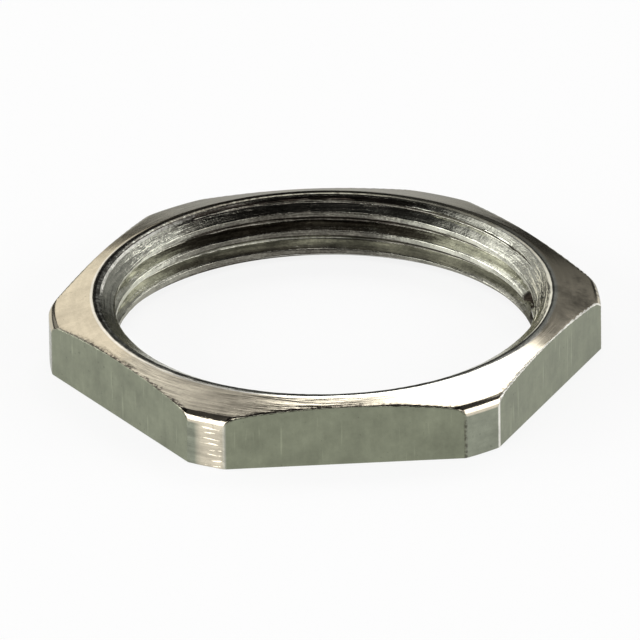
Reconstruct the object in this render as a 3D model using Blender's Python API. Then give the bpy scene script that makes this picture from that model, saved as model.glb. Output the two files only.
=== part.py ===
"""Locknut for a cable gland: a thin hexagon nut, turned in one piece from brass bar and
nickel plated. The bore carries a fine metric thread with a countersink at each end.

The nut lies on its flat bearing face. The thread's axis is +Z, the origin is the centre of
the bearing face, and two of the six corners lie on the X axis. Lengths are in metres.
"""
import math

import bmesh
import bpy

# Thread: metric fine, right hand
THREAD_DIAMETER = 0.0320
THREAD_PITCH = 0.0015

# Direction in which the thread's groove starts to open out of the bearing face
THREAD_START_ANGLE = math.radians(213.75)

# Body
THICKNESS = 0.0049
WALL_AT_FLATS = 0.0020
CORNER_REACH = 0.0020
CROWN_SLOPE = math.radians(17.0)
CROWN_EDGE_RADIUS = 0.0008
BOTTOM_EDGE_BREAK = 0.00012
MOUTH_RIM = 0.00042

# Countersinks: each mouth is this much wider, in radius, than the thread
TOP_COUNTERSINK = 0.00045
BOTTOM_COUNTERSINK = 0.00020
COUNTERSINK_ANGLE = math.radians(120.0)

# Steps in the round shapes
TURNED_STEPS = 96
EDGE_STEPS = 5

# How far a cutting tool passes the nut's faces, and the tap's ridge the bore's wall
OVERRUN = 0.0010
TAP_OVERLAP = 0.00012

NICKEL_COLOUR = (0.60, 0.57, 0.50, 1.0)

# A 60 degree metric thread's height, and the share of the pitch on its flats
THREAD_HEIGHT = THREAD_PITCH * 5.0 / 8.0 * math.sin(math.radians(60.0))
ROOT_FLAT = THREAD_PITCH / 8.0
CREST_FLAT = THREAD_PITCH / 4.0

major_radius = THREAD_DIAMETER / 2.0
minor_radius = major_radius - THREAD_HEIGHT
flat_distance = major_radius + WALL_AT_FLATS
corner_radius = flat_distance + CORNER_REACH


def new_object(name, mesh):
    """Put a mesh into the scene under its name."""
    piece = bpy.data.objects.new(name, mesh)
    bpy.context.collection.objects.link(piece)
    return piece


def mesh_from(name, points, faces):
    """Make a mesh whose faces all point outwards."""
    mesh = bpy.data.meshes.new(name)
    mesh.from_pydata(points, [], faces)
    shape = bmesh.new()
    shape.from_mesh(mesh)
    bmesh.ops.recalc_face_normals(shape, faces=shape.faces)
    shape.to_mesh(mesh)
    shape.free()
    return mesh


def at_angle(radius, angle, height):
    """A point on a circle round the thread's axis."""
    return (radius * math.cos(angle), radius * math.sin(angle), height)


def turned_section():
    """The section that the lathe leaves, as (radius, height) points in a closed loop."""
    half_angle = COUNTERSINK_ANGLE / 2.0
    top_mouth = major_radius + TOP_COUNTERSINK
    bottom_mouth = major_radius + BOTTOM_COUNTERSINK
    top_depth = (top_mouth - minor_radius) / math.tan(half_angle)
    bottom_depth = (bottom_mouth - minor_radius) / math.tan(half_angle)

    # The crown falls from the mouth's rim to the point where its edge starts to round over
    crown_start = top_mouth + MOUTH_RIM
    arc_centre = corner_radius - CROWN_EDGE_RADIUS
    arc_start = arc_centre + CROWN_EDGE_RADIUS * math.sin(CROWN_SLOPE)
    arc_height = (THICKNESS - (arc_start - crown_start) * math.tan(CROWN_SLOPE)
                  - CROWN_EDGE_RADIUS * math.cos(CROWN_SLOPE))

    section = [
        (bottom_mouth, 0.0),
        (corner_radius - BOTTOM_EDGE_BREAK, 0.0),
        (corner_radius, BOTTOM_EDGE_BREAK),
    ]
    for step in range(EDGE_STEPS + 1):
        turn = (math.pi / 2.0 - CROWN_SLOPE) * step / EDGE_STEPS
        section.append((arc_centre + CROWN_EDGE_RADIUS * math.cos(turn),
                        arc_height + CROWN_EDGE_RADIUS * math.sin(turn)))
    section += [
        (crown_start, THICKNESS),
        (top_mouth, THICKNESS),
        (minor_radius, THICKNESS - top_depth),
        (minor_radius, bottom_depth),
    ]
    return section


def turned_ring(section):
    """Spin the section round the thread's axis."""
    count = len(section)
    points = []
    faces = []
    for step in range(TURNED_STEPS):
        angle = 2.0 * math.pi * step / TURNED_STEPS
        points += [at_angle(radius, angle, height) for radius, height in section]
        here = step * count
        there = (step + 1) % TURNED_STEPS * count
        for index in range(count):
            following = (index + 1) % count
            faces.append((here + index, there + index, there + following, here + following))
    return mesh_from("turned_ring", points, faces)


def hexagon_bar():
    """The bar that the nut is turned from, as a prism that leaves its six flats."""
    reach = flat_distance / math.cos(math.pi / 6.0)
    points = []
    for height in (-OVERRUN, THICKNESS + OVERRUN):
        points += [at_angle(reach, math.pi / 3.0 * corner, height) for corner in range(6)]
    faces = [tuple(range(6)), tuple(range(6, 12))]
    for corner in range(6):
        following = (corner + 1) % 6
        faces.append((corner, following, 6 + following, 6 + corner))
    return mesh_from("hexagon_bar", points, faces)


def tap():
    """The tap's cutting ridge: the thread's section, wound up the axis past both faces.

    The turned ring already has the bore, so the ridge alone cuts the groove.
    """
    flank = (THREAD_PITCH - CREST_FLAT - ROOT_FLAT) / 2.0
    skirt = TAP_OVERLAP * flank / THREAD_HEIGHT
    ridge = [
        (minor_radius - TAP_OVERLAP, -skirt),
        (major_radius, flank),
        (major_radius, flank + ROOT_FLAT),
        (minor_radius - TAP_OVERLAP, 2.0 * flank + ROOT_FLAT + skirt),
    ]
    turns_below = math.ceil(OVERRUN / THREAD_PITCH) + 1
    turns = turns_below + math.ceil((THICKNESS + OVERRUN) / THREAD_PITCH)
    count = len(ridge)
    steps = turns * TURNED_STEPS
    points = []
    faces = []
    for step in range(steps + 1):
        turn = step / TURNED_STEPS
        angle = THREAD_START_ANGLE + 2.0 * math.pi * turn
        lift = THREAD_PITCH * (turn - turns_below)
        points += [at_angle(radius, angle, lift + height) for radius, height in ridge]
        if step < steps:
            here = step * count
            there = here + count
            for index in range(count):
                following = (index + 1) % count
                faces.append((here + index, there + index, there + following, here + following))
    faces.append(tuple(range(count)))
    faces.append(tuple(range(steps * count, (steps + 1) * count)))
    return mesh_from("tap", points, faces)


def cut(piece, name, mesh, operation):
    """Shape a piece by a tool, which is kept in the scene as a wire guide."""
    tool = new_object(name, mesh)
    tool.display_type = "WIRE"
    tool.hide_render = True
    boolean = piece.modifiers.new(name, "BOOLEAN")
    boolean.operation = operation
    boolean.object = tool


def nickel_plated_brass():
    """Bright nickel over brass: a warm silver metal with a satin, machined gloss."""
    material = bpy.data.materials.new("nickel_plated_brass")
    material.use_nodes = True
    shader = material.node_tree.nodes["Principled BSDF"]
    shader.inputs["Base Color"].default_value = NICKEL_COLOUR
    shader.inputs["Metallic"].default_value = 1.0
    shader.inputs["Roughness"].default_value = 0.3
    return material


for old in list(bpy.data.objects):
    bpy.data.objects.remove(old, do_unlink=True)

ring_mesh = turned_ring(turned_section())
ring_mesh.shade_smooth()
ring_mesh.set_sharp_from_angle(angle=math.radians(25.0))
ring_mesh.materials.append(nickel_plated_brass())
locknut = new_object("locknut", ring_mesh)
cut(locknut, "hexagon_bar", hexagon_bar(), "INTERSECT")
cut(locknut, "tap", tap(), "DIFFERENCE")
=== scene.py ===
import math

import bpy
from mathutils import Matrix, Vector


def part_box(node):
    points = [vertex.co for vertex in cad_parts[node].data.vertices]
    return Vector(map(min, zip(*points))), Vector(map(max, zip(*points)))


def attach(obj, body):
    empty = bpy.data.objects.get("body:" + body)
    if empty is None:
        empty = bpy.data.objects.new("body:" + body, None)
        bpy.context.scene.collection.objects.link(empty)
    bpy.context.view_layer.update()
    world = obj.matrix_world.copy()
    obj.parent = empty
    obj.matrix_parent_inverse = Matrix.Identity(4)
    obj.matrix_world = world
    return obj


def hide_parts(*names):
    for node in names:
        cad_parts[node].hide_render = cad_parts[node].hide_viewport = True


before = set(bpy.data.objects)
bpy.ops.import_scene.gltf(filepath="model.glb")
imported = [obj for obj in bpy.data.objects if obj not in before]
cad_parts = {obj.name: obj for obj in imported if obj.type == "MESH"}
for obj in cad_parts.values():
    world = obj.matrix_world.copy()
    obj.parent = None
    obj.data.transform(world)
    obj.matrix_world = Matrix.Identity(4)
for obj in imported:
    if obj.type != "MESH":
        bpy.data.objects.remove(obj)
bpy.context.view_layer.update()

# The nut. One piece of nickel-plated brass: hexagon bar, turned to a shallow crown with
# rounded corner edges, countersunk at both ends and tapped M32 x 1.5, right hand. Its shape
# follows a rule: a turned section, swept round the axis, held in by the six flats.
MM = 0.001
low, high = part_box("locknut")
THICKNESS = high.z - low.z
CORNER_RADIUS = (high.x - low.x) / 2
FLAT_DISTANCE = (high.y - low.y) / 2
SIXTH_TURN = math.tau / 6

# The thread, and the direction in which its groove opens out of the bearing face
THREAD_RADIUS = 16.0 * MM
PITCH = 1.5 * MM
FLANK_ANGLE = math.radians(60)
THREAD_HEIGHT = PITCH * 5 / 8 * math.sin(FLANK_ANGLE)
CREST_FLAT = PITCH / 4
THREAD_START = math.radians(213.75)
THREAD_SOFTENING = 0.09 * MM

# The countersinks. The thread's rows end in each of them at a seam, just below the mouth.
COUNTERSINK_SLOPE = math.tan(math.radians(60))
TOP_MOUTH = THREAD_RADIUS + 0.45 * MM
BOTTOM_MOUTH = THREAD_RADIUS + 0.20 * MM
TOP_MOUTH_SOFTENING = 0.15 * MM
BOTTOM_MOUTH_SOFTENING = 0.05 * MM
TOP_SEAM = THICKNESS - 0.12 * MM
BOTTOM_SEAM = 0.07 * MM
SEAM_SOFTENING = 0.05 * MM

# The outside
MOUTH_RIM = 0.42 * MM
CROWN_SLOPE = math.radians(17)
CROWN_EDGE_RADIUS = 0.8 * MM
BOTTOM_EDGE_BREAK = 0.10 * MM
FLAT_EDGE_SOFTENING = 0.13 * MM
CREASE_SOFTENING = 0.05 * MM

# How deep the lathe and the tap have marked and torn the metal
TURNING_RIDGE = 0.045 * MM
TURNING_FEED = 0.42 * MM
TORN_CREST = 0.12 * MM
TORN_MOUTH = 0.14 * MM
TORN_LINES = 0.055 * MM

# How many torn or worn patches there are to a radian round the nut. The largest are 0.7 mm
# long on the crests, 0.5 mm at the mouth, 0.7 mm on the flats' edges and 0.3 mm on the
# lathe's ridges, which are also uneven every 0.15 mm round the nut and 0.4 mm up it.
CREST_PATCHES = 22.0
MOUTH_PATCHES = 34.0
EDGE_PATCHES = 26.0
RAGGED_PATCHES = 60.0
UNEVEN_PATCHES = (130.0, 130.0, 45.0)

# Where the marks, the wear, the painted highlights and the painted shade are, round the axis
# from +X. The camera looks from 266 degrees. A crease with a painted highlight has its
# strength too.
TOOL_MARKS_FACE = math.radians(240)
CHATTER_FACE = math.radians(241.2)
SHADED_CREASE = math.radians(295.8)
SHADED_EDGES_FACE = math.radians(250)
SHADED_CORNER_FACE = math.radians(4)
WORN_HIGHLIT_EDGE_FACE = math.radians(338)
HIGHLIT_CREASES = ((math.radians(304.2), 1.0), (math.radians(244.2), 0.25),
                (math.radians(64.2), 0.8), (math.radians(175.8), 0.5))
BREAK_OUT_FACE = math.radians(9.5)
BREAK_OUT_RADIUS = 15.3 * MM
BREAK_OUT_HEIGHT = 1.75 * MM
BREAK_OUT_REACH = 1.0 * MM

# The mesh: its columns round the axis, how close they stand at the flats' ends, the rows to
# one ridge of the lathe, and how far the thread's rows pass the seams
COLUMNS_PER_SIXTH = 54
CREASE_SPACING = math.radians(0.08)
RIDGE_ROWS = 8
ROW_OVERRUN = 0.2 * MM


def line_points(start, end, steps):
    """Points along a straight line, without its first one."""
    return [tuple(a + (b - a) * step / steps for a, b in zip(start, end))
            for step in range(1, steps + 1)]


def arc_points(centre, radius, start, end, steps):
    """Points along an arc, without its first one. Angles are in radians from +X."""
    turns = [start + (end - start) * step / steps for step in range(1, steps + 1)]
    return [(centre[0] + radius * math.cos(turn), centre[1] + radius * math.sin(turn))
            for turn in turns]


def rounded_corner(corner, before, after, reach, steps):
    """A corner of the section, eased over a short reach of the lines on both sides."""
    corner = Vector(corner)
    start = corner + (Vector(before) - corner).normalized() * reach
    end = corner + (Vector(after) - corner).normalized() * reach
    shares = [step / steps for step in range(steps + 1)]
    return [tuple(start * (1 - t) ** 2 + corner * 2 * t * (1 - t) + end * t ** 2)
            for t in shares]


# The thread's rows follow its helix. In one pitch they crowd at the crest's and root's edges.
half_pitch = [0.0, 0.06, 0.10, 0.125, 0.15, 0.19, 0.25, 0.3125, 0.375, 0.41, 0.4375, 0.465]
whole_pitch = half_pitch + [0.5] + [1 - share for share in reversed(half_pitch[1:])]
crest_height = -CREST_FLAT / 2 - PITCH * THREAD_START / math.tau
first_turn = math.floor((BOTTOM_SEAM - PITCH - crest_height) / PITCH) - 1
last_turn = math.ceil((TOP_SEAM - crest_height) / PITCH) + 1
thread_rows = [crest_height + PITCH * (turn + share)
               for turn in range(first_turn, last_turn) for share in whole_pitch]
thread_rows = [height for height in thread_rows
               if BOTTOM_SEAM - PITCH - ROW_OVERRUN < height < TOP_SEAM + ROW_OVERRUN]

# The section goes up the bore, out over the crown, down the wall and back under the nut
top_seam_point = (TOP_MOUTH - (THICKNESS - TOP_SEAM) * COUNTERSINK_SLOPE, TOP_SEAM)
bottom_seam_point = (BOTTOM_MOUTH - BOTTOM_SEAM * COUNTERSINK_SLOPE, BOTTOM_SEAM)
mouth_point = (TOP_MOUTH, THICKNESS)
crown_start = (TOP_MOUTH + MOUTH_RIM, THICKNESS)
arc_x = CORNER_RADIUS - CROWN_EDGE_RADIUS
arc_start_x = arc_x + CROWN_EDGE_RADIUS * math.sin(CROWN_SLOPE)
arc_start_z = THICKNESS - (arc_start_x - crown_start[0]) * math.tan(CROWN_SLOPE)
arc_z = arc_start_z - CROWN_EDGE_RADIUS * math.cos(CROWN_SLOPE)
flats_x = FLAT_DISTANCE - FLAT_EDGE_SOFTENING
crown_at_flats = (flats_x, THICKNESS - (flats_x - crown_start[0]) * math.tan(CROWN_SLOPE))
wall_rows = round((arc_z - BOTTOM_EDGE_BREAK) / (TURNING_FEED / RIDGE_ROWS))
foot_x = CORNER_RADIUS - BOTTOM_EDGE_BREAK

bore_section = [(THREAD_RADIUS, height) for height in thread_rows]
crown_section = [top_seam_point]
crown_section += rounded_corner(mouth_point, top_seam_point, crown_start,
                                reach=TOP_MOUTH_SOFTENING, steps=5)
crown_section += rounded_corner(crown_start, mouth_point, crown_at_flats,
                                reach=MOUTH_RIM / 2, steps=5)
crown_section += line_points(crown_section[-1], crown_at_flats, steps=6)
crown_section += line_points(crown_at_flats, (arc_start_x, arc_start_z), steps=46)
crown_section += arc_points((arc_x, arc_z), CROWN_EDGE_RADIUS,
                            math.pi / 2 - CROWN_SLOPE, 0.0, steps=16)
wall_section = line_points((CORNER_RADIUS, arc_z), (CORNER_RADIUS, BOTTOM_EDGE_BREAK),
                           wall_rows)
wall_section += arc_points((foot_x, BOTTOM_EDGE_BREAK), BOTTOM_EDGE_BREAK,
                           0.0, -math.pi / 2, steps=3)
under_section = line_points((foot_x, 0.0), (BOTTOM_MOUTH + BOTTOM_MOUTH_SOFTENING, 0.0),
                            steps=7)
under_section += rounded_corner((BOTTOM_MOUTH, 0.0), (CORNER_RADIUS, 0.0), bottom_seam_point,
                                reach=BOTTOM_MOUTH_SOFTENING, steps=4)[1:]
under_section += [bottom_seam_point]

BORE, CROWN, WALL, UNDER = range(4)
section = [(radius, zone, height)
           for zone, points in enumerate((bore_section, crown_section, wall_section,
                                          under_section))
           for radius, height in points]

# Outside, the columns crowd at the flats' ends. They are evenly spaced there, and then wider
# with the cube of the distance, from a corner's middle at share 0 to a flat's middle at 1.
# Halving an interval finds the share of the flats' ends.
HALVINGS = 60
half_land = SIXTH_TURN / 2 - math.acos(FLAT_DISTANCE / CORNER_RADIUS)
crease_rate = CREASE_SPACING * COLUMNS_PER_SIXTH / 2
lowest, highest = 0.0, 1.0
for _ in range(HALVINGS):
    crease_share = (lowest + highest) / 2
    crease_bend = ((SIXTH_TURN / 2 - half_land - crease_rate * (1 - crease_share))
                   / (1 - crease_share) ** 3)
    miss = half_land - crease_rate * crease_share - crease_bend * crease_share ** 3
    lowest, highest = (crease_share, highest) if miss > 0 else (lowest, crease_share)


def add(tree, kind, *sources, **settings):
    """Add a node with these settings, and return its first output. Each source is the value
    of an input or the output that feeds it, in the node's order, and None leaves one out."""
    node = tree.nodes.new(kind)
    for name, value in settings.items():
        setattr(node, name, value)
    sockets = [socket for socket in node.inputs if socket.enabled]
    for socket, source in zip(sockets, sources):
        if isinstance(source, bpy.types.NodeSocket):
            tree.links.new(source, socket)
        elif source is not None:
            socket.default_value = source
    return next((socket for socket in node.outputs if socket.enabled), None)


def towards(azimuth, radius=1.0):
    """A level direction, in radians from +X. Its dot product with a place says how far that
    lies to this side, and is 1 at this radius."""
    return (math.cos(azimuth) / radius, math.sin(azimuth) / radius, 0.0)


# A noise takes its place, scale, detail and roughness. A range takes a value, the range that
# it is in and the range that it becomes. MULTIPLY_ADD is the first by the second, plus the
# third, and the third of SMOOTH_MIN and SMOOTH_MAX is the distance over which they ease.
MATHS = "ShaderNodeMath"
VECTOR_MATHS = "ShaderNodeVectorMath"
RANGE = "ShaderNodeMapRange"
MIX = "ShaderNodeMix"
NOISE = "ShaderNodeTexNoise"
rule = bpy.data.node_groups.new("locknut_rule", "GeometryNodeTree")
for name, kind in (("Section", "NodeSocketGeometry"), ("Rows", "NodeSocketInt"),
                   ("Columns", "NodeSocketInt"), ("Flat distance", "NodeSocketFloat"),
                   ("Corner radius", "NodeSocketFloat"), ("Thread radius", "NodeSocketFloat"),
                   ("Thread height", "NodeSocketFloat"), ("Pitch", "NodeSocketFloat"),
                   ("Crest height", "NodeSocketFloat"), ("Finish", "NodeSocketMaterial")):
    rule.interface.new_socket(name, in_out="INPUT", socket_type=kind)
rule.interface.new_socket("Nut", in_out="OUTPUT", socket_type="NodeSocketGeometry")
given = rule.nodes.new("NodeGroupInput").outputs

# Each grid point finds its column, its row, and that row's point of the section
columns = add(rule, MATHS, given["Columns"], 1.0, operation="ADD")
grid = add(rule, "GeometryNodeMeshGrid", 1.0, 1.0, columns, given["Rows"])
index = add(rule, "GeometryNodeInputIndex")
column = add(rule, MATHS, index, 0.5, operation="ADD")
column = add(rule, MATHS, column, given["Rows"], operation="DIVIDE")
column = add(rule, MATHS, column, operation="FLOOR")
row = add(rule, MATHS, column, given["Rows"], operation="MULTIPLY")
row = add(rule, MATHS, index, row, operation="SUBTRACT")
row = add(rule, "FunctionNodeFloatToInt", row)
point = add(rule, "GeometryNodeInputPosition")
drawn = add(rule, "GeometryNodeSampleIndex", given["Section"], point, row,
            data_type="FLOAT_VECTOR")
radius = add(rule, "ShaderNodeSeparateXYZ", drawn)
zone, height = radius.node.outputs["Y"], radius.node.outputs["Z"]

# Its angle round the axis: even in the bore, crowded at the flats' ends outside
turn = add(rule, MATHS, column, given["Columns"], operation="DIVIDE")
even = add(rule, MATHS, turn, math.tau, operation="MULTIPLY")
sixths = add(rule, MATHS, turn, 6.0, operation="MULTIPLY")
corner = add(rule, MATHS, sixths, operation="ROUND")
off_corner = add(rule, MATHS, sixths, corner, operation="SUBTRACT")
side = add(rule, MATHS, off_corner, operation="SIGN")
share = add(rule, MATHS, off_corner, side, operation="MULTIPLY")
off_crease = add(rule, MATHS, share, 2.0, -crease_share, operation="MULTIPLY_ADD")
cube = add(rule, MATHS, off_crease, off_crease, operation="MULTIPLY")
cube = add(rule, MATHS, cube, off_crease, operation="MULTIPLY")
crowded = add(rule, MATHS, off_crease, crease_rate, half_land, operation="MULTIPLY_ADD")
crowded = add(rule, MATHS, cube, crease_bend, crowded, operation="MULTIPLY_ADD")
crowded = add(rule, MATHS, crowded, side, operation="MULTIPLY")
crowded = add(rule, MATHS, corner, SIXTH_TURN, crowded, operation="MULTIPLY_ADD")
outward = add(rule, RANGE, radius, TOP_MOUTH, flats_x, 0.0, 1.0)
angle = add(rule, MIX, outward, even, crowded)
along_x = add(rule, MATHS, angle, operation="COSINE")
along_y = add(rule, MATHS, angle, operation="SINE")

# The outline: turned corners, and flats at their distance from the axis. A point counts as on
# a flat where the flat cuts this much off the turned shape.
FLAT_CUT = 0.04 * MM
from_corner = add(rule, MATHS, angle, 2 * math.tau, operation="ADD")
from_corner = add(rule, MATHS, from_corner, SIXTH_TURN, operation="MODULO")
from_middle = add(rule, MATHS, from_corner, SIXTH_TURN / 2, operation="SUBTRACT")
to_flat = add(rule, MATHS, from_middle, operation="COSINE")
to_flat = add(rule, MATHS, given["Flat distance"], to_flat, operation="DIVIDE")
outline = add(rule, MATHS, given["Corner radius"], to_flat, CREASE_SOFTENING,
              operation="SMOOTH_MIN")
cut_off = add(rule, MATHS, given["Corner radius"], outline, operation="SUBTRACT")
on_flat = add(rule, RANGE, cut_off, 0.0, FLAT_CUT, 0.0, 1.0)

# A row of the thread climbs one pitch in a turn, between the two seams
lifted = add(rule, MATHS, turn, given["Pitch"], height, operation="MULTIPLY_ADD")
lifted = add(rule, MATHS, lifted, BOTTOM_SEAM, operation="MAXIMUM")
bore_height = add(rule, MATHS, lifted, TOP_SEAM, operation="MINIMUM")

# A place on the nut for the wear and the tool marks, counted in corner radii
past_bore = add(rule, MATHS, zone, BORE + 0.5, operation="GREATER_THAN")
place = add(rule, MIX, past_bore, bore_height, height)
place = add(rule, MATHS, place, given["Corner radius"], operation="DIVIDE")
place = add(rule, "ShaderNodeCombineXYZ", along_x, along_y, place)

# How far a point is from the nearest crest: first in pitches, then in metres from the edge of
# the crest's narrow flat. The crests are a little torn.
pitches = add(rule, MATHS, bore_height, given["Crest height"], operation="SUBTRACT")
pitches = add(rule, MATHS, pitches, given["Pitch"], operation="DIVIDE")
pitches = add(rule, MATHS, pitches, turn, operation="SUBTRACT")
nearest = add(rule, MATHS, pitches, operation="ROUND")
off_crest = add(rule, MATHS, pitches, nearest, operation="SUBTRACT")
faces_down = add(rule, RANGE, off_crest, -0.06, -0.14, 0.0, 1.0)
off_crest = add(rule, MATHS, off_crest, operation="ABSOLUTE")
off_crest = add(rule, MATHS, off_crest, given["Pitch"], -CREST_FLAT / 2,
                operation="MULTIPLY_ADD")
torn = add(rule, NOISE, place, CREST_PATCHES, 3.0, 0.6)
torn = add(rule, MATHS, torn, 0.5, operation="SUBTRACT")
off_crest = add(rule, MATHS, torn, TORN_CREST, off_crest, operation="MULTIPLY_ADD")

# The mouth is torn too, less so further down its countersink
TORN_MOUTH_REACH = 0.4 * MM
torn_mouth = add(rule, "ShaderNodeCombineXYZ", along_x, along_y, 0.0)
torn_mouth = add(rule, NOISE, torn_mouth, MOUTH_PATCHES, 3.0, 0.7)
torn_mouth = add(rule, MATHS, torn_mouth, 0.5, operation="SUBTRACT")
torn_depth = add(rule, RANGE, bore_height, TOP_SEAM - TORN_MOUTH_REACH, TOP_SEAM,
                 0.3 * TORN_MOUTH, TORN_MOUTH)

# The bore: the thread's flanks between its crests and roots, opened by the countersinks
minor = add(rule, MATHS, given["Thread radius"], given["Thread height"], operation="SUBTRACT")
flank = add(rule, MATHS, off_crest, math.tan(FLANK_ANGLE), minor, operation="MULTIPLY_ADD")
groove = add(rule, MATHS, minor, flank, THREAD_SOFTENING, operation="SMOOTH_MAX")
groove = add(rule, MATHS, groove, given["Thread radius"], THREAD_SOFTENING,
             operation="SMOOTH_MIN")
top_cone = add(rule, MATHS, bore_height, COUNTERSINK_SLOPE,
               TOP_MOUTH - THICKNESS * COUNTERSINK_SLOPE, operation="MULTIPLY_ADD")
top_cone = add(rule, MATHS, torn_mouth, torn_depth, top_cone, operation="MULTIPLY_ADD")
bottom_cone = add(rule, MATHS, bore_height, -COUNTERSINK_SLOPE, BOTTOM_MOUTH,
                  operation="MULTIPLY_ADD")
bore_radius = add(rule, MATHS, groove, top_cone, SEAM_SOFTENING, operation="SMOOTH_MAX")
bore_radius = add(rule, MATHS, bore_radius, bottom_cone, SEAM_SOFTENING,
                  operation="SMOOTH_MAX")

# Torn lines run along the thread, five to a radian and so 3 mm long. Across it they are finer
# than the mesh's rows, so that each row has its own. They are shallow on the far side and run
# out at the seams.
LINES_ALONG = 5.0
LINE_SPACING = 0.026 * MM
LINES_RUN_OUT = 0.1 * MM
across = add(rule, MATHS, off_crest, 1 / (LINE_SPACING * LINES_ALONG), operation="MULTIPLY")
lines = add(rule, NOISE, place, across, LINES_ALONG, 1.0, 0.5, noise_dimensions="4D")
lines = add(rule, MATHS, lines, 0.5, operation="SUBTRACT")
line_depth = add(rule, RANGE, along_y, 1.0, 0.85, 0.3 * TORN_LINES, TORN_LINES)
for seam_height, inside in ((TOP_SEAM, TOP_SEAM - LINES_RUN_OUT),
                            (BOTTOM_SEAM, BOTTOM_SEAM + LINES_RUN_OUT)):
    off_seam = add(rule, RANGE, bore_height, seam_height, inside, 0.0, 1.0)
    line_depth = add(rule, MATHS, line_depth, off_seam, operation="MULTIPLY")
bore_radius = add(rule, MATHS, lines, line_depth, bore_radius, operation="MULTIPLY_ADD")

# The crown runs out at the flats in a worn edge, broad here and sharp there. One flat's
# edge is worn more than the others.
SHARPEST_EDGE = 0.001 * MM
wear = add(rule, NOISE, place, EDGE_PATCHES, 4.0, 0.75)
wear = add(rule, RANGE, wear, 0.35, 0.65, 0.25 * FLAT_EDGE_SOFTENING, FLAT_EDGE_SOFTENING)
worn_edge = add(rule, VECTOR_MATHS, place, towards(WORN_HIGHLIT_EDGE_FACE), operation="DOT_PRODUCT")
worn_edge = add(rule, RANGE, worn_edge, 0.80, 0.93, 1.0, 2.0)
wear = add(rule, MATHS, wear, worn_edge, operation="MULTIPLY")
edge = add(rule, MATHS, cut_off, SHARPEST_EDGE, operation="MAXIMUM")
edge = add(rule, MATHS, wear, edge, operation="MINIMUM")
crown_radius = add(rule, MATHS, radius, outline, edge, operation="SMOOTH_MIN")
torn_rim = add(rule, RANGE, radius, TOP_MOUTH + 0.05 * MM, TOP_MOUTH + 0.3 * MM,
               TORN_MOUTH, 0.0)
crown_radius = add(rule, MATHS, torn_mouth, torn_rim, crown_radius, operation="MULTIPLY_ADD")

# How far a point is past that edge, counted in the edge's own width. A dark line of painted
# shade lies along it, on the crown's side.
past_edge = add(rule, MATHS, radius, outline, operation="SUBTRACT")
past_edge = add(rule, MATHS, past_edge, edge, operation="DIVIDE")
shaded_edge = add(rule, RANGE, past_edge, -4.5, -3.0, 0.0, 1.0)
unshaded_flat = add(rule, RANGE, past_edge, 0.2, 0.8, 1.0, 0.0)
shaded_edge = add(rule, MATHS, shaded_edge, unshaded_flat, operation="MULTIPLY")
shaded_edge = add(rule, MATHS, shaded_edge, on_flat, operation="MULTIPLY")
past_edge = add(rule, RANGE, past_edge, -0.5, 0.5, 0.0, 1.0)

# The turned corners keep the tool's ridges. They are ragged and uneven, and deepest where the
# tool chattered, which fades out between two angles. The crown's marks are strongest on that
# side too.
CHATTER_FADES = (math.radians(3.8), math.radians(1.8))
RAGGED_PHASE = 7.0
facing = add(rule, VECTOR_MATHS, place, towards(TOOL_MARKS_FACE), operation="DOT_PRODUCT")
tool_marks = add(rule, RANGE, facing, 0.8, 0.97, 0.25, 1.0)
chatter = add(rule, VECTOR_MATHS, place, towards(CHATTER_FACE), operation="DOT_PRODUCT")
chatter = add(rule, RANGE, chatter, math.cos(CHATTER_FADES[0]), math.cos(CHATTER_FADES[1]),
              0.3, 1.0)
uneven = add(rule, VECTOR_MATHS, place, UNEVEN_PATCHES, operation="MULTIPLY")
uneven = add(rule, NOISE, uneven, 1.0, 1.0, 0.5)
uneven = add(rule, RANGE, uneven, 0.42, 0.54, 0.2, 1.3)
ragged = add(rule, NOISE, place, RAGGED_PATCHES, 3.0, 0.7)
ridge = add(rule, MATHS, height, math.tau / TURNING_FEED, operation="MULTIPLY")
ridge = add(rule, MATHS, ragged, RAGGED_PHASE, ridge, operation="MULTIPLY_ADD")
ridge = add(rule, MATHS, ridge, operation="SINE")
ridge = add(rule, MATHS, ridge, 0.5, 0.5, operation="MULTIPLY_ADD")
ridge_depth = add(rule, MATHS, on_flat, -TURNING_RIDGE, TURNING_RIDGE,
                  operation="MULTIPLY_ADD")
ridge_depth = add(rule, MATHS, ridge_depth, chatter, operation="MULTIPLY")
ridge_depth = add(rule, MATHS, ridge_depth, uneven, operation="MULTIPLY")
ridge = add(rule, MATHS, ridge, ridge_depth, operation="MULTIPLY")
wall_radius = add(rule, MATHS, radius, cut_off, operation="SUBTRACT")
wall_radius = add(rule, MATHS, wall_radius, ridge, operation="SUBTRACT")

# The bearing face is drawn in to meet the wall
inward = add(rule, RANGE, radius, BOTTOM_MOUTH, foot_x, 0.0, 1.0)
inward = add(rule, MATHS, inward, cut_off, operation="MULTIPLY")
under_radius = add(rule, MATHS, radius, inward, operation="SUBTRACT")

# A short piece of the thread has broken out. It leaves a ragged gap, longer than it is high,
# with painted shade just past its edge.
GAP_FLATTENED = 1.5
GAP_RAGGED = 0.8 * MM
GAP_EDGE = 0.2 * MM
SHADE_PAST_GAP = 0.6 * MM
bore_x = add(rule, MATHS, along_x, BREAK_OUT_RADIUS, operation="MULTIPLY")
bore_y = add(rule, MATHS, along_y, BREAK_OUT_RADIUS, operation="MULTIPLY")
gap = add(rule, MATHS, bore_height, GAP_FLATTENED, operation="MULTIPLY")
gap = add(rule, "ShaderNodeCombineXYZ", bore_x, bore_y, gap)
gap = add(rule, VECTOR_MATHS, gap,
          (BREAK_OUT_RADIUS * math.cos(BREAK_OUT_FACE),
           BREAK_OUT_RADIUS * math.sin(BREAK_OUT_FACE), BREAK_OUT_HEIGHT * GAP_FLATTENED),
          operation="DISTANCE")
gap = add(rule, MATHS, torn, GAP_RAGGED, gap, operation="MULTIPLY_ADD")
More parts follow.
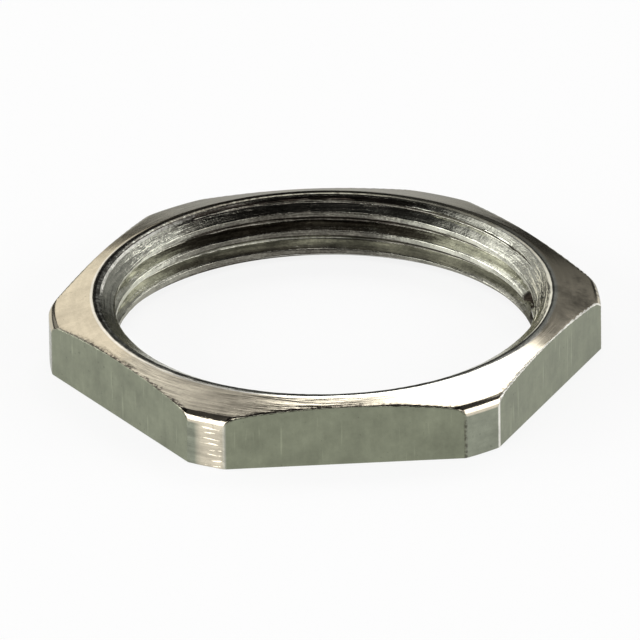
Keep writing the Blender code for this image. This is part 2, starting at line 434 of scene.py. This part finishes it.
shaded_gap_ring = add(rule, RANGE, gap, BREAK_OUT_REACH + SHADE_PAST_GAP,
                BREAK_OUT_REACH + SHADE_PAST_GAP - GAP_EDGE, 0.0, 1.0)
gap = add(rule, RANGE, gap, BREAK_OUT_REACH, BREAK_OUT_REACH - GAP_EDGE, 0.0, 1.0)
bore_radius = add(rule, MIX, gap, bore_radius, THREAD_RADIUS)

# Each zone of the section has its own radius, and the bore its own height
final_radius, final_height = bore_radius, bore_height
for number, zone_radius in ((CROWN, crown_radius), (WALL, wall_radius), (UNDER, under_radius)):
    reached = add(rule, MATHS, zone, number - 0.5, operation="GREATER_THAN")
    final_radius = add(rule, MIX, reached, final_radius, zone_radius)
    final_height = add(rule, MIX, reached, final_height, height)
x = add(rule, MATHS, final_radius, along_x, operation="MULTIPLY")
y = add(rule, MATHS, final_radius, along_y, operation="MULTIPLY")
position = add(rule, "ShaderNodeCombineXYZ", x, y, final_height)

# What the finish needs to know: where a point is in the thread, whether it is on a wall or
# on a flat, how strong the tool marks are, which creases between flat and corner get a painted
# highlight, and where painted shade lies. A line on a crease ends at the first of two angles
# from it, and is full inside the second.
HIGHLIT_LINE = (0.0062, 0.0035)
SHADED_LINE = (0.0068, 0.004)
SHADED_CORNER_ENDS = (math.radians(9), math.radians(6))
past_crown = add(rule, MATHS, zone, CROWN + 0.5, operation="GREATER_THAN")
on_wall = add(rule, MATHS, past_crown, past_edge, operation="MAXIMUM")
crease_highlight = None
for azimuth, strength in HIGHLIT_CREASES:
    near = add(rule, VECTOR_MATHS, place, towards(azimuth), operation="DOT_PRODUCT")
    near = add(rule, RANGE, near, math.cos(HIGHLIT_LINE[0]), math.cos(HIGHLIT_LINE[1]),
               0.0, strength)
    crease_highlight = near if crease_highlight is None else add(rule, MATHS, crease_highlight, near, operation="MAXIMUM")
# Painted shade: a dark line on one crease, dark lines on the crown at its near edges and at
# the rounded corner on +X, and a ring round the gap
shade_marks = add(rule, VECTOR_MATHS, place, towards(SHADED_CREASE), operation="DOT_PRODUCT")
shade_marks = add(rule, RANGE, shade_marks, math.cos(SHADED_LINE[0]), math.cos(SHADED_LINE[1]), 0.0, 1.0)
shade_marks = add(rule, MATHS, shade_marks, on_wall, operation="MULTIPLY")
shade_marks = add(rule, MATHS, shade_marks, 0.7, operation="MULTIPLY")
shaded_edges_side = add(rule, VECTOR_MATHS, place, towards(SHADED_EDGES_FACE), operation="DOT_PRODUCT")
shaded_edges_side = add(rule, RANGE, shaded_edges_side, 0.3, 0.7, 0.0, 0.9)
shaded_edge = add(rule, MATHS, shaded_edge, shaded_edges_side, operation="MULTIPLY")
shaded_corner = add(rule, VECTOR_MATHS, place, towards(SHADED_CORNER_FACE), operation="DOT_PRODUCT")
shaded_corner = add(rule, RANGE, shaded_corner, math.cos(SHADED_CORNER_ENDS[0]),
                   math.cos(SHADED_CORNER_ENDS[1]), 0.0, 0.8)
corner_edge = add(rule, RANGE, radius, arc_start_x, arc_start_x + 0.2 * MM, 0.0, 1.0)
shaded_corner = add(rule, MATHS, shaded_corner, corner_edge, operation="MULTIPLY")
shaded_edge = add(rule, MATHS, shaded_edge, shaded_corner, operation="MAXIMUM")
shade_marks = add(rule, MIX, past_crown, shaded_edge, shade_marks)
shade_marks = add(rule, MIX, past_bore, shaded_gap_ring, shade_marks)
facts = {"zone": zone, "off_crest": off_crest, "faces_down": faces_down, "on_wall": on_wall,
         "on_flat": on_flat, "tool_marks": tool_marks, "chatter": chatter, "crease_highlight": crease_highlight,
         "shade_marks": shade_marks}

# The grid takes its shape. Where its first and last columns and the seams meet, its points
# are merged.
MERGED_WITHIN = 0.0005 * MM
nut = grid
for name, value in facts.items():
    nut = add(rule, "GeometryNodeStoreNamedAttribute", nut, None, name, value,
              data_type="FLOAT", domain="POINT")
nut = add(rule, "GeometryNodeSetPosition", nut, None, position)
nut = add(rule, "GeometryNodeMergeByDistance", nut, None, MERGED_WITHIN)
nut = add(rule, "GeometryNodeSetShadeSmooth", nut)
nut = add(rule, "GeometryNodeRealizeInstances", nut)
nut = add(rule, "GeometryNodeSetMaterial", nut, None, given["Finish"])
add(rule, "NodeGroupOutput", nut)


def srgb(hex_colour):
    """A linear colour from an sRGB hex value."""
    channels = [int(hex_colour[start:start + 2], 16) / 255 for start in (1, 3, 5)]
    return (*(value / 12.92 if value <= 0.04045 else ((value + 0.055) / 1.055) ** 2.4
              for value in channels), 1.0)


# Bright nickel plate over machined brass. The turned crown is a clean warm silver with the
# tool's marks round it, the drawn flats are duller and grey, their grey partly painted shade,
# and the tapped thread is streaky, with painted shade under its crests.
finish = bpy.data.materials.new("bright_nickel_plate")
finish.use_nodes = True
plate = finish.node_tree
shader = plate.nodes["Principled BSDF"]
shader.inputs["Metallic"].default_value = 1.0
TURNED_NICKEL = srgb("#d3cab6")
# The grey of the corners' walls and of the flats is partly painted shade, darker than the
# plate
LAND_NICKEL_AND_SHADE = srgb("#8a8e7f")
DRAWN_NICKEL_AND_SHADE = srgb("#838774")
TAPPED_NICKEL = srgb("#d0d0c2")
# A dark colour for painted shade and painted dark reflections
PAINTED_SHADE_COLOUR = srgb("#3b352f")
# A darker colour, painted on the far side as a painted dark reflection
FAR_SIDE_SHADE_COLOUR = srgb("#6a675a")
RIM_NICKEL = srgb("#d6d7ce")
# A bright colour for painted highlights
HIGHLIGHT_NICKEL = srgb("#eceae2")
DULLED_GLARE = srgb("#dddcd6")
WHITE = srgb("#ffffff")

TURNED_ROUGHNESS = 0.13
FAR_SIDE_ROUGHNESS = 0.19
DRAWN_ROUGHNESS = 0.40
BURR_ROUGHNESS = 0.60
WORN_EDGE_ROUGHNESS = 0.55
CLOUDS_ROUGHNESS = 0.12
MARKS_DEPTH = 0.012 * MM

# How strong the tools' marks are beside each other, and how much each pattern lightens or
# darkens the plate
TURNING_CONTRAST = 2.6
DRAWING_CONTRAST = 0.6
TAPPING_CONTRAST = 3.0
MARKS_SHADE = 0.50
CLOUDS_SHADE = 0.90
STAINS_SHADE = 1.2
PITS_SHADE = -0.35

at = add(plate, "ShaderNodeTexCoord").node.outputs["Object"]
in_mm = add(plate, VECTOR_MATHS, at, (1 / MM, 1 / MM, 1 / MM), operation="MULTIPLY")
apart = add(plate, "ShaderNodeSeparateXYZ", in_mm).node.outputs
told = {name: add(plate, "ShaderNodeAttribute", attribute_name=name).node.outputs["Fac"]
        for name in facts}
in_bore = add(plate, MATHS, told["zone"], BORE + 0.5, operation="LESS_THAN")
flats = add(plate, MATHS, told["on_wall"], told["on_flat"], operation="MULTIPLY")

# Turning marks run round the axis, from 0.5 down to 0.06 mm apart and some 5 mm long. The
# widest are coarser than a real lathe's.
flat_part = add(plate, "ShaderNodeCombineXYZ", apart["X"], apart["Y"], 0.0)
out_mm = add(plate, VECTOR_MATHS, flat_part, operation="LENGTH")
along = add(plate, MATHS, out_mm, apart["Z"], operation="SUBTRACT")
marks_at = add(plate, "ShaderNodeCombineXYZ", apart["X"], apart["Y"], along)
marks_at = add(plate, VECTOR_MATHS, marks_at, (1 / 5, 1 / 5, 1 / 0.5), operation="MULTIPLY")
turning_marks = add(plate, NOISE, marks_at, 1.0, 3.0, 0.65)
turning_marks = add(plate, MATHS, turning_marks, 0.5, operation="SUBTRACT")
turning_marks = add(plate, MATHS, turning_marks, TURNING_CONTRAST, operation="MULTIPLY")
turning_marks = add(plate, MATHS, turning_marks, told["tool_marks"], operation="MULTIPLY")
# Drawing marks run up the flats, from 0.8 down to 0.05 mm apart and 6 mm long, with a few
# deeper scratches among them, 0.3 mm wide at most and 4 mm long
marks_at = add(plate, VECTOR_MATHS, in_mm, (1 / 0.8, 1 / 0.8, 1 / 6), operation="MULTIPLY")
drawing_marks = add(plate, NOISE, marks_at, 1.0, 4.0, 0.75)
drawing_marks = add(plate, MATHS, drawing_marks, 0.5, operation="SUBTRACT")
marks_at = add(plate, VECTOR_MATHS, in_mm, (1 / 0.3, 1 / 0.3, 1 / 4), operation="MULTIPLY")
scratches = add(plate, NOISE, marks_at, 1.0, 1.0, 0.5)
scratches = add(plate, RANGE, scratches, 0.66, 0.74, 0.0, 0.5)
drawing_marks = add(plate, MATHS, drawing_marks, DRAWING_CONTRAST, scratches,
                    operation="MULTIPLY_ADD")
# The tap's streaks follow the thread, from 0.12 mm apart down and 4 mm long, over torn grain
# of 0.2 mm and less
streaks_at = add(plate, VECTOR_MATHS, in_mm, (1 / 4, 1 / 4, 1 / 4), operation="MULTIPLY")
across = add(plate, MATHS, told["off_crest"], 1 / (0.12 * MM), operation="MULTIPLY")
streaks = add(plate, NOISE, streaks_at, across, 1.0, 2.0, 0.6, noise_dimensions="4D")
grain = add(plate, NOISE, in_mm, 1 / 0.2, 2.0, 0.6)
streaks = add(plate, MATHS, grain, 0.5, streaks, operation="MULTIPLY_ADD")
streaks = add(plate, MATHS, streaks, 0.75, operation="SUBTRACT")
# Clouds in the plating, from 2.5 mm across down to 0.2 mm, and specks of 0.3 mm and less, of
# which the strongest are pits
clouds = add(plate, NOISE, in_mm, 1 / 2.5, 4.0, 0.75)
clouds = add(plate, MATHS, clouds, 0.5, operation="SUBTRACT")
pits = add(plate, NOISE, in_mm, 1 / 0.3, 2.0, 0.6)
specks = add(plate, MATHS, pits, 0.5, operation="SUBTRACT")
pits = add(plate, RANGE, pits, 0.68, 0.76, 0.0, 1.0)

marks = add(plate, MIX, flats, turning_marks, drawing_marks)
tapping_marks = add(plate, MATHS, streaks, TAPPING_CONTRAST, operation="MULTIPLY")
marks = add(plate, MIX, in_bore, marks, tapping_marks)

# The corners' walls are dull, their grey partly painted shade, but where the tool chattered
ridged = add(plate, RANGE, told["chatter"], 0.3, 1.0, 0.0, 1.0)
land = add(plate, MIX, ridged, LAND_NICKEL_AND_SHADE, TURNED_NICKEL, data_type="RGBA")
# The rim round the mouth, out to 16.85 mm, is a cooler silver than the crown
on_rim = add(plate, RANGE, out_mm, 16.95, 16.75, 0.0, 1.0)
colour = add(plate, MIX, on_rim, TURNED_NICKEL, RIM_NICKEL, data_type="RGBA")
# Both are painted a little darker on the far side, mottled by the clouds: a painted dark
# reflection
SHADED_FAR_SIDE = math.radians(80)
far_side_shade = add(plate, VECTOR_MATHS, in_mm, towards(SHADED_FAR_SIDE, 18), operation="DOT_PRODUCT")
far_side_shade = add(plate, MATHS, clouds, 1.4, far_side_shade, operation="MULTIPLY_ADD")
far_side_shade = add(plate, RANGE, far_side_shade, 0.2, 0.75, 0.0, 0.9)
colour = add(plate, MIX, far_side_shade, colour, FAR_SIDE_SHADE_COLOUR, data_type="RGBA")
# The rim is painted dark at the back, a painted dark reflection broken up by specks
SHADED_RIM_SIDE = math.radians(148)
rim_shade = add(plate, VECTOR_MATHS, in_mm, towards(SHADED_RIM_SIDE, 16.5), operation="DOT_PRODUCT")
rim_shade = add(plate, MATHS, specks, 2.5, rim_shade, operation="MULTIPLY_ADD")
rim_shade = add(plate, RANGE, rim_shade, 0.45, 0.95, 0.0, 0.8)
rim_shade = add(plate, MATHS, rim_shade, on_rim, operation="MULTIPLY")
colour = add(plate, MIX, rim_shade, colour, PAINTED_SHADE_COLOUR, data_type="RGBA")
colour = add(plate, MIX, told["on_wall"], colour, land, data_type="RGBA")
# The flats' dull grey is partly painted shade
colour = add(plate, MIX, flats, colour, DRAWN_NICKEL_AND_SHADE, data_type="RGBA")
colour = add(plate, MIX, in_bore, colour, TAPPED_NICKEL, data_type="RGBA")
# A painted highlight: the crown's inner edge is painted bright on the near side, in a line 0.2
# mm wide
HIGHLIT_RIM_SIDE = math.radians(240)
rim_highlight = add(plate, VECTOR_MATHS, in_mm, towards(HIGHLIT_RIM_SIDE, 17), operation="DOT_PRODUCT")
rim_highlight = add(plate, RANGE, rim_highlight, -0.2, 0.1, 0.0, 0.9)
for outside, inside in ((16.78, 16.84), (17.02, 16.96)):
    line_edge = add(plate, RANGE, out_mm, outside, inside, 0.0, 1.0)
    rim_highlight = add(plate, MATHS, rim_highlight, line_edge, operation="MULTIPLY")
colour = add(plate, MIX, rim_highlight, colour, HIGHLIGHT_NICKEL, data_type="RGBA")
# Just inside the mouth, a fine burr in the countersink scatters the light by its roughness,
# and is painted bright too, a painted highlight
BURR_HIGHLIGHT_SIDE = math.radians(140)
burr_and_highlight = add(plate, VECTOR_MATHS, in_mm, towards(BURR_HIGHLIGHT_SIDE, 16.2), operation="DOT_PRODUCT")
burr_and_highlight = add(plate, RANGE, burr_and_highlight, 0.80, 0.86, 0.0, 1.0)
for measure, outside, inside in ((out_mm, 16.06, 16.12), (out_mm, 16.30, 16.24),
                                 (apart["Z"], 4.4, 4.5)):
    burr_edge = add(plate, RANGE, measure, outside, inside, 0.0, 1.0)
    burr_and_highlight = add(plate, MATHS, burr_and_highlight, burr_edge, operation="MULTIPLY")
patchy = add(plate, RANGE, specks, -0.15, 0.05, 0.4, 1.0)
burr_and_highlight = add(plate, MATHS, burr_and_highlight, patchy, operation="MULTIPLY")
colour = add(plate, MIX, burr_and_highlight, colour, HIGHLIGHT_NICKEL, data_type="RGBA")
# The most worn edge between crown and flat is rough, and painted bright as a painted highlight
bare = add(plate, MATHS, told["on_wall"], -1.0, 1.0, operation="MULTIPLY_ADD")
highlit_edge = add(plate, MATHS, told["on_wall"], bare, operation="MULTIPLY")
highlit_edge = add(plate, MATHS, highlit_edge, told["on_flat"], operation="MULTIPLY")
highlit_edge = add(plate, RANGE, highlit_edge, 0.02, 0.12, 0.0, 1.0)
highlit_edge_side = add(plate, VECTOR_MATHS, in_mm, towards(WORN_HIGHLIT_EDGE_FACE, 18),
                operation="DOT_PRODUCT")
highlit_edge_side = add(plate, RANGE, highlit_edge_side, 0.85, 0.93, 0.0, 1.0)
highlit_edge = add(plate, MATHS, highlit_edge, highlit_edge_side, operation="MULTIPLY")
colour = add(plate, MIX, highlit_edge, colour, HIGHLIGHT_NICKEL, data_type="RGBA")
# Painted shade: a dark colour is painted into the thread, all over its far side, most on the
# flanks that face down and least in the lowest groove. On the near side it is painted only low
# down, in the roots, round the gap and, broken up, on one crease and along some crown edges.
SHADED_THREAD_SIDE = math.radians(94)
shaded_thread_side = add(plate, VECTOR_MATHS, in_mm, towards(SHADED_THREAD_SIDE, 16), operation="DOT_PRODUCT")
shaded_thread_side = add(plate, MATHS, streaks, 0.7, shaded_thread_side, operation="MULTIPLY_ADD")
shaded_thread_side = add(plate, RANGE, shaded_thread_side, 0.70, 0.86, 0.0, 1.0)
in_groove = add(plate, RANGE, told["off_crest"], 0.0, 0.08 * MM, 0.0, 1.0)
low_groove = add(plate, RANGE, apart["Z"], 2.0, 1.8, 0.0, 1.0)
low_groove = add(plate, MATHS, low_groove, in_groove, operation="MULTIPLY")
painted_shade = add(plate, MATHS, told["faces_down"], 0.12, 0.87, operation="MULTIPLY_ADD")
painted_shade = add(plate, MIX, low_groove, painted_shade, 0.58)
painted_shade = add(plate, MATHS, streaks, -0.6, painted_shade, operation="MULTIPLY_ADD")
low_edge = add(plate, RANGE, apart["Z"], 0.65, 0.40, 0.0, 0.95)
painted_shade = add(plate, MATHS, painted_shade, low_edge, operation="MAXIMUM")
painted_shade = add(plate, MATHS, painted_shade, shaded_thread_side, operation="MULTIPLY")
low_band = add(plate, RANGE, apart["Z"], 1.6, 1.1, 0.0, 0.6)
painted_shade = add(plate, MATHS, painted_shade, low_band, operation="MAXIMUM")
root_side = add(plate, RANGE, apart["X"], 0.0, 4.0, 0.0, 0.85)
root = add(plate, RANGE, told["off_crest"], 0.40 * MM, 0.50 * MM, 0.0, 1.0)
root = add(plate, MATHS, root, root_side, operation="MULTIPLY")
painted_shade = add(plate, MATHS, painted_shade, root, operation="MAXIMUM")
painted_shade = add(plate, MATHS, painted_shade, in_bore, operation="MULTIPLY")
broken = add(plate, RANGE, specks, -0.06, 0.06, 0.25, 1.0)
broken = add(plate, MATHS, broken, in_bore, operation="MAXIMUM")
shade_marks = add(plate, MATHS, told["shade_marks"], broken, operation="MULTIPLY")
painted_shade = add(plate, MATHS, painted_shade, shade_marks, operation="MAXIMUM")
colour = add(plate, MIX, painted_shade, colour, PAINTED_SHADE_COLOUR, data_type="RGBA")
# Painted highlights: the creases between flat and corner are painted bright
crease_highlight = add(plate, MATHS, told["crease_highlight"], told["on_wall"], operation="MULTIPLY")
colour = add(plate, MIX, crease_highlight, colour, HIGHLIGHT_NICKEL, data_type="RGBA")
# Over all of it lie the marks, the clouds and the pits. The clouds stain the crown more where
# its far side is painted darker and at the corner on +X.
shade = add(plate, MATHS, marks, MARKS_SHADE, 1.0, operation="MULTIPLY_ADD")
shade = add(plate, MATHS, clouds, CLOUDS_SHADE, shade, operation="MULTIPLY_ADD")
stained = add(plate, RANGE, apart["X"], 16.0, 18.5, 0.0, 2.0)
stained = add(plate, MATHS, far_side_shade, stained, operation="ADD")
stained = add(plate, MATHS, stained, bare, operation="MULTIPLY")
stained = add(plate, MATHS, stained, clouds, operation="MULTIPLY")
shade = add(plate, MATHS, stained, STAINS_SHADE, shade, operation="MULTIPLY_ADD")
shade = add(plate, MATHS, pits, PITS_SHADE, shade, operation="MULTIPLY_ADD")
colour = add(plate, VECTOR_MATHS, colour, shade, operation="MULTIPLY")
plate.links.new(colour, shader.inputs["Base Color"])

# A thin film takes off the glare at flat angles, but for the flats
glare = add(plate, MIX, flats, DULLED_GLARE, WHITE, data_type="RGBA")
plate.links.new(glare, shader.inputs["Specular Tint"])
rough = add(plate, MIX, far_side_shade, TURNED_ROUGHNESS, FAR_SIDE_ROUGHNESS)
rough = add(plate, MIX, flats, rough, DRAWN_ROUGHNESS)
rough = add(plate, MIX, burr_and_highlight, rough, BURR_ROUGHNESS)
rough = add(plate, MIX, highlit_edge, rough, WORN_EDGE_ROUGHNESS)
rough = add(plate, MATHS, clouds, CLOUDS_ROUGHNESS, rough, operation="MULTIPLY_ADD")
plate.links.new(rough, shader.inputs["Roughness"])
bump = add(plate, "ShaderNodeBump", 1.0, MARKS_DEPTH, None, marks)
plate.links.new(bump, shader.inputs["Normal"])

# The rule turns the drawn section into the nut, which is then a plain mesh
SHARP_EDGE = math.radians(50)
section_mesh = bpy.data.meshes.new("turned_section")
section_mesh.from_pydata(section, [], [])
drawing = bpy.data.objects.new("turned_section", section_mesh)
bpy.context.collection.objects.link(drawing)
sizes = {"Rows": len(section), "Columns": 6 * COLUMNS_PER_SIXTH,
         "Flat distance": FLAT_DISTANCE, "Corner radius": CORNER_RADIUS,
         "Thread radius": THREAD_RADIUS, "Thread height": THREAD_HEIGHT, "Pitch": PITCH,
         "Crest height": crest_height, "Finish": finish}
follow = drawing.modifiers.new("locknut_rule", "NODES")
follow.node_group = rule
for socket in rule.interface.items_tree:
    if socket.name in sizes:
        follow[socket.identifier] = sizes[socket.name]

evaluated = drawing.evaluated_get(bpy.context.evaluated_depsgraph_get())
nut_mesh = bpy.data.meshes.new_from_object(evaluated)
bpy.data.objects.remove(drawing)
nut_mesh.name = "locknut_nickel_plated"
nut_mesh.set_sharp_from_angle(angle=SHARP_EDGE)
nut = bpy.data.objects.new("locknut_nickel_plated", nut_mesh)
bpy.context.collection.objects.link(nut)
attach(nut, "root")
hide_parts("locknut")

# The floor: a plain sheet of white paper, far larger than the view, on which the nut lies.
# It shows nearly clear white to the camera and in the metal, and keeps the nut's shadow.
FLOOR_REACH = 4.0
FLOOR_GAP = 0.02 * MM
CLEAR_SHARE = 0.85
floor_mesh = bpy.data.meshes.new("floor")
floor_mesh.from_pydata([(-FLOOR_REACH, -FLOOR_REACH, 0), (FLOOR_REACH, -FLOOR_REACH, 0),
                        (FLOOR_REACH, FLOOR_REACH, 0), (-FLOOR_REACH, FLOOR_REACH, 0)],
                       [], [(0, 1, 2, 3)])
floor = bpy.data.objects.new("floor", floor_mesh)
bpy.context.collection.objects.link(floor)
floor.location.z = low.z - FLOOR_GAP
paper = bpy.data.materials.new("white_paper")
paper.use_nodes = True
sheet = paper.node_tree
sheet.nodes.clear()
matt = add(sheet, "ShaderNodeBsdfDiffuse", srgb("#fafafa"))
clear_white = add(sheet, "ShaderNodeEmission", WHITE, 1.0)
ray = add(sheet, "ShaderNodeLightPath").node.outputs
seen = add(sheet, MATHS, ray["Is Camera Ray"], ray["Is Glossy Ray"], operation="ADD")
seen = add(sheet, MATHS, seen, ray["Is Transmission Ray"], operation="ADD")
seen = add(sheet, MATHS, seen, CLEAR_SHARE, operation="MULTIPLY")
whitened = add(sheet, "ShaderNodeMixShader", seen, matt, clear_white)
add(sheet, "ShaderNodeOutputMaterial", whitened)
floor_mesh.materials.append(paper)

# The light: soft boxes and dim cards on both sides of the nut and behind it. The sky right
# over the nut and the low sky straight behind it stay dark, so that the metal has something
# to mirror.
CAMERA_TURN = -4.2
LAMP_DISTANCE = 0.6
WARM_WHITE = "#fffaf2"
STUDIO_GREY = (0.04, 0.04, 0.04, 1.0)


def from_centre(azimuth, elevation, distance):
    """A point seen from the nut at this azimuth, from +X, and this elevation, in degrees."""
    turn, rise = math.radians(azimuth), math.radians(elevation)
    return distance * Vector((math.cos(turn) * math.cos(rise), math.sin(turn) * math.cos(rise),
                              math.sin(rise)))


def softbox(name, azimuths, elevations, radiance, colour="#ffffff"):
    """A flat lamp that faces the nut and fills these angles, in degrees. The camera is at
    azimuth 270. The lamp's power gives it a set brightness where it shows."""
    width, height = (2 * LAMP_DISTANCE * math.tan(math.radians(end - start) / 2)
                     for start, end in (azimuths, elevations))
    lamp = bpy.data.lights.new(name, "AREA")
    lamp.shape = "RECTANGLE"
    lamp.size = width
    lamp.size_y = height
    lamp.energy = radiance * math.pi * width * height
    lamp.color = srgb(colour)[:3]
    holder = bpy.data.objects.new(name, lamp)
    holder.location = from_centre(sum(azimuths) / 2 + CAMERA_TURN, sum(elevations) / 2,
                                  LAMP_DISTANCE)
    holder.rotation_euler = holder.location.to_track_quat("Z", "Y").to_euler()
    holder.visible_camera = False
    bpy.context.collection.objects.link(holder)


softbox("back_softbox", (61, 87), (38, 62), 2.6)
softbox("back_high_card", (89, 118), (42, 62), 0.5)
softbox("back_left_card", (99, 116), (18, 41), 1.08, WARM_WHITE)
softbox("back_left_low_card", (97, 109), (7, 18), 1.2, WARM_WHITE)
softbox("left_high_card", (122, 154), (45, 57), 0.42)
softbox("right_high_card", (26, 58), (45, 57), 0.55)
softbox("right_card", (18, 64), (2, 38), 0.27)
softbox("back_right_card", (66, 86), (12, 34), 0.15)
softbox("right_strip_softbox", (28, 40), (12, 46), 1.6)
softbox("left_card", (119, 150), (8, 50), 0.34)
softbox("left_strip_softbox", (134, 144), (12, 46), 1.3)
softbox("low_left_softbox", (194, 236), (0, 36), 3.0)
softbox("low_right_softbox", (304, 346), (0, 38), 2.3)
softbox("side_left_softbox", (155, 190), (4, 34), 4.0)
softbox("side_right_softbox", (-18, 12), (4, 34), 2.9)
softbox("front_high_softbox", (252, 288), (58, 76), 3.0)

world = bpy.data.worlds.new("studio")
bpy.context.scene.world = world
world.use_nodes = True
world.node_tree.nodes["Background"].inputs["Color"].default_value = STUDIO_GREY
bpy.context.scene.view_settings.view_transform = "Standard"

# The camera: a long lens far off, at the photograph's angle, so that parallel edges stay
# parallel. It aims so that the nut's centre has its place in the picture.
CAMERA_ELEVATION = 26.3
CAMERA_ROLL = -0.8
PHOTO_PIXELS = 640
PHOTO_PIXELS_PER_MM = 13.81
NUT_CENTRE_IN_PHOTO = (325.0, 322.9)
LENS = 1125.0
SENSOR = 36.0

camera_data = bpy.data.cameras.new("camera")
camera_data.sensor_width = SENSOR
camera_data.lens = LENS
camera = bpy.data.objects.new("camera", camera_data)
bpy.context.collection.objects.link(camera)
bpy.context.scene.camera = camera
distance = LENS / SENSOR * PHOTO_PIXELS / PHOTO_PIXELS_PER_MM * MM
camera_data.clip_start = distance / 10
camera_data.clip_end = distance * 10
aim = from_centre(270 + CAMERA_TURN, CAMERA_ELEVATION, 1.0)
turned_to = (aim.to_track_quat("Z", "Y").to_matrix()
             @ Matrix.Rotation(math.radians(CAMERA_ROLL), 3, "Z"))
right = (PHOTO_PIXELS / 2 - NUT_CENTRE_IN_PHOTO[0]) / PHOTO_PIXELS_PER_MM * MM
up = (NUT_CENTRE_IN_PHOTO[1] - PHOTO_PIXELS / 2) / PHOTO_PIXELS_PER_MM * MM
centre = Vector((0, 0, (low.z + high.z) / 2))
camera.rotation_euler = turned_to.to_euler()
camera.location = centre + aim * distance + turned_to @ Vector((right, up, 0))
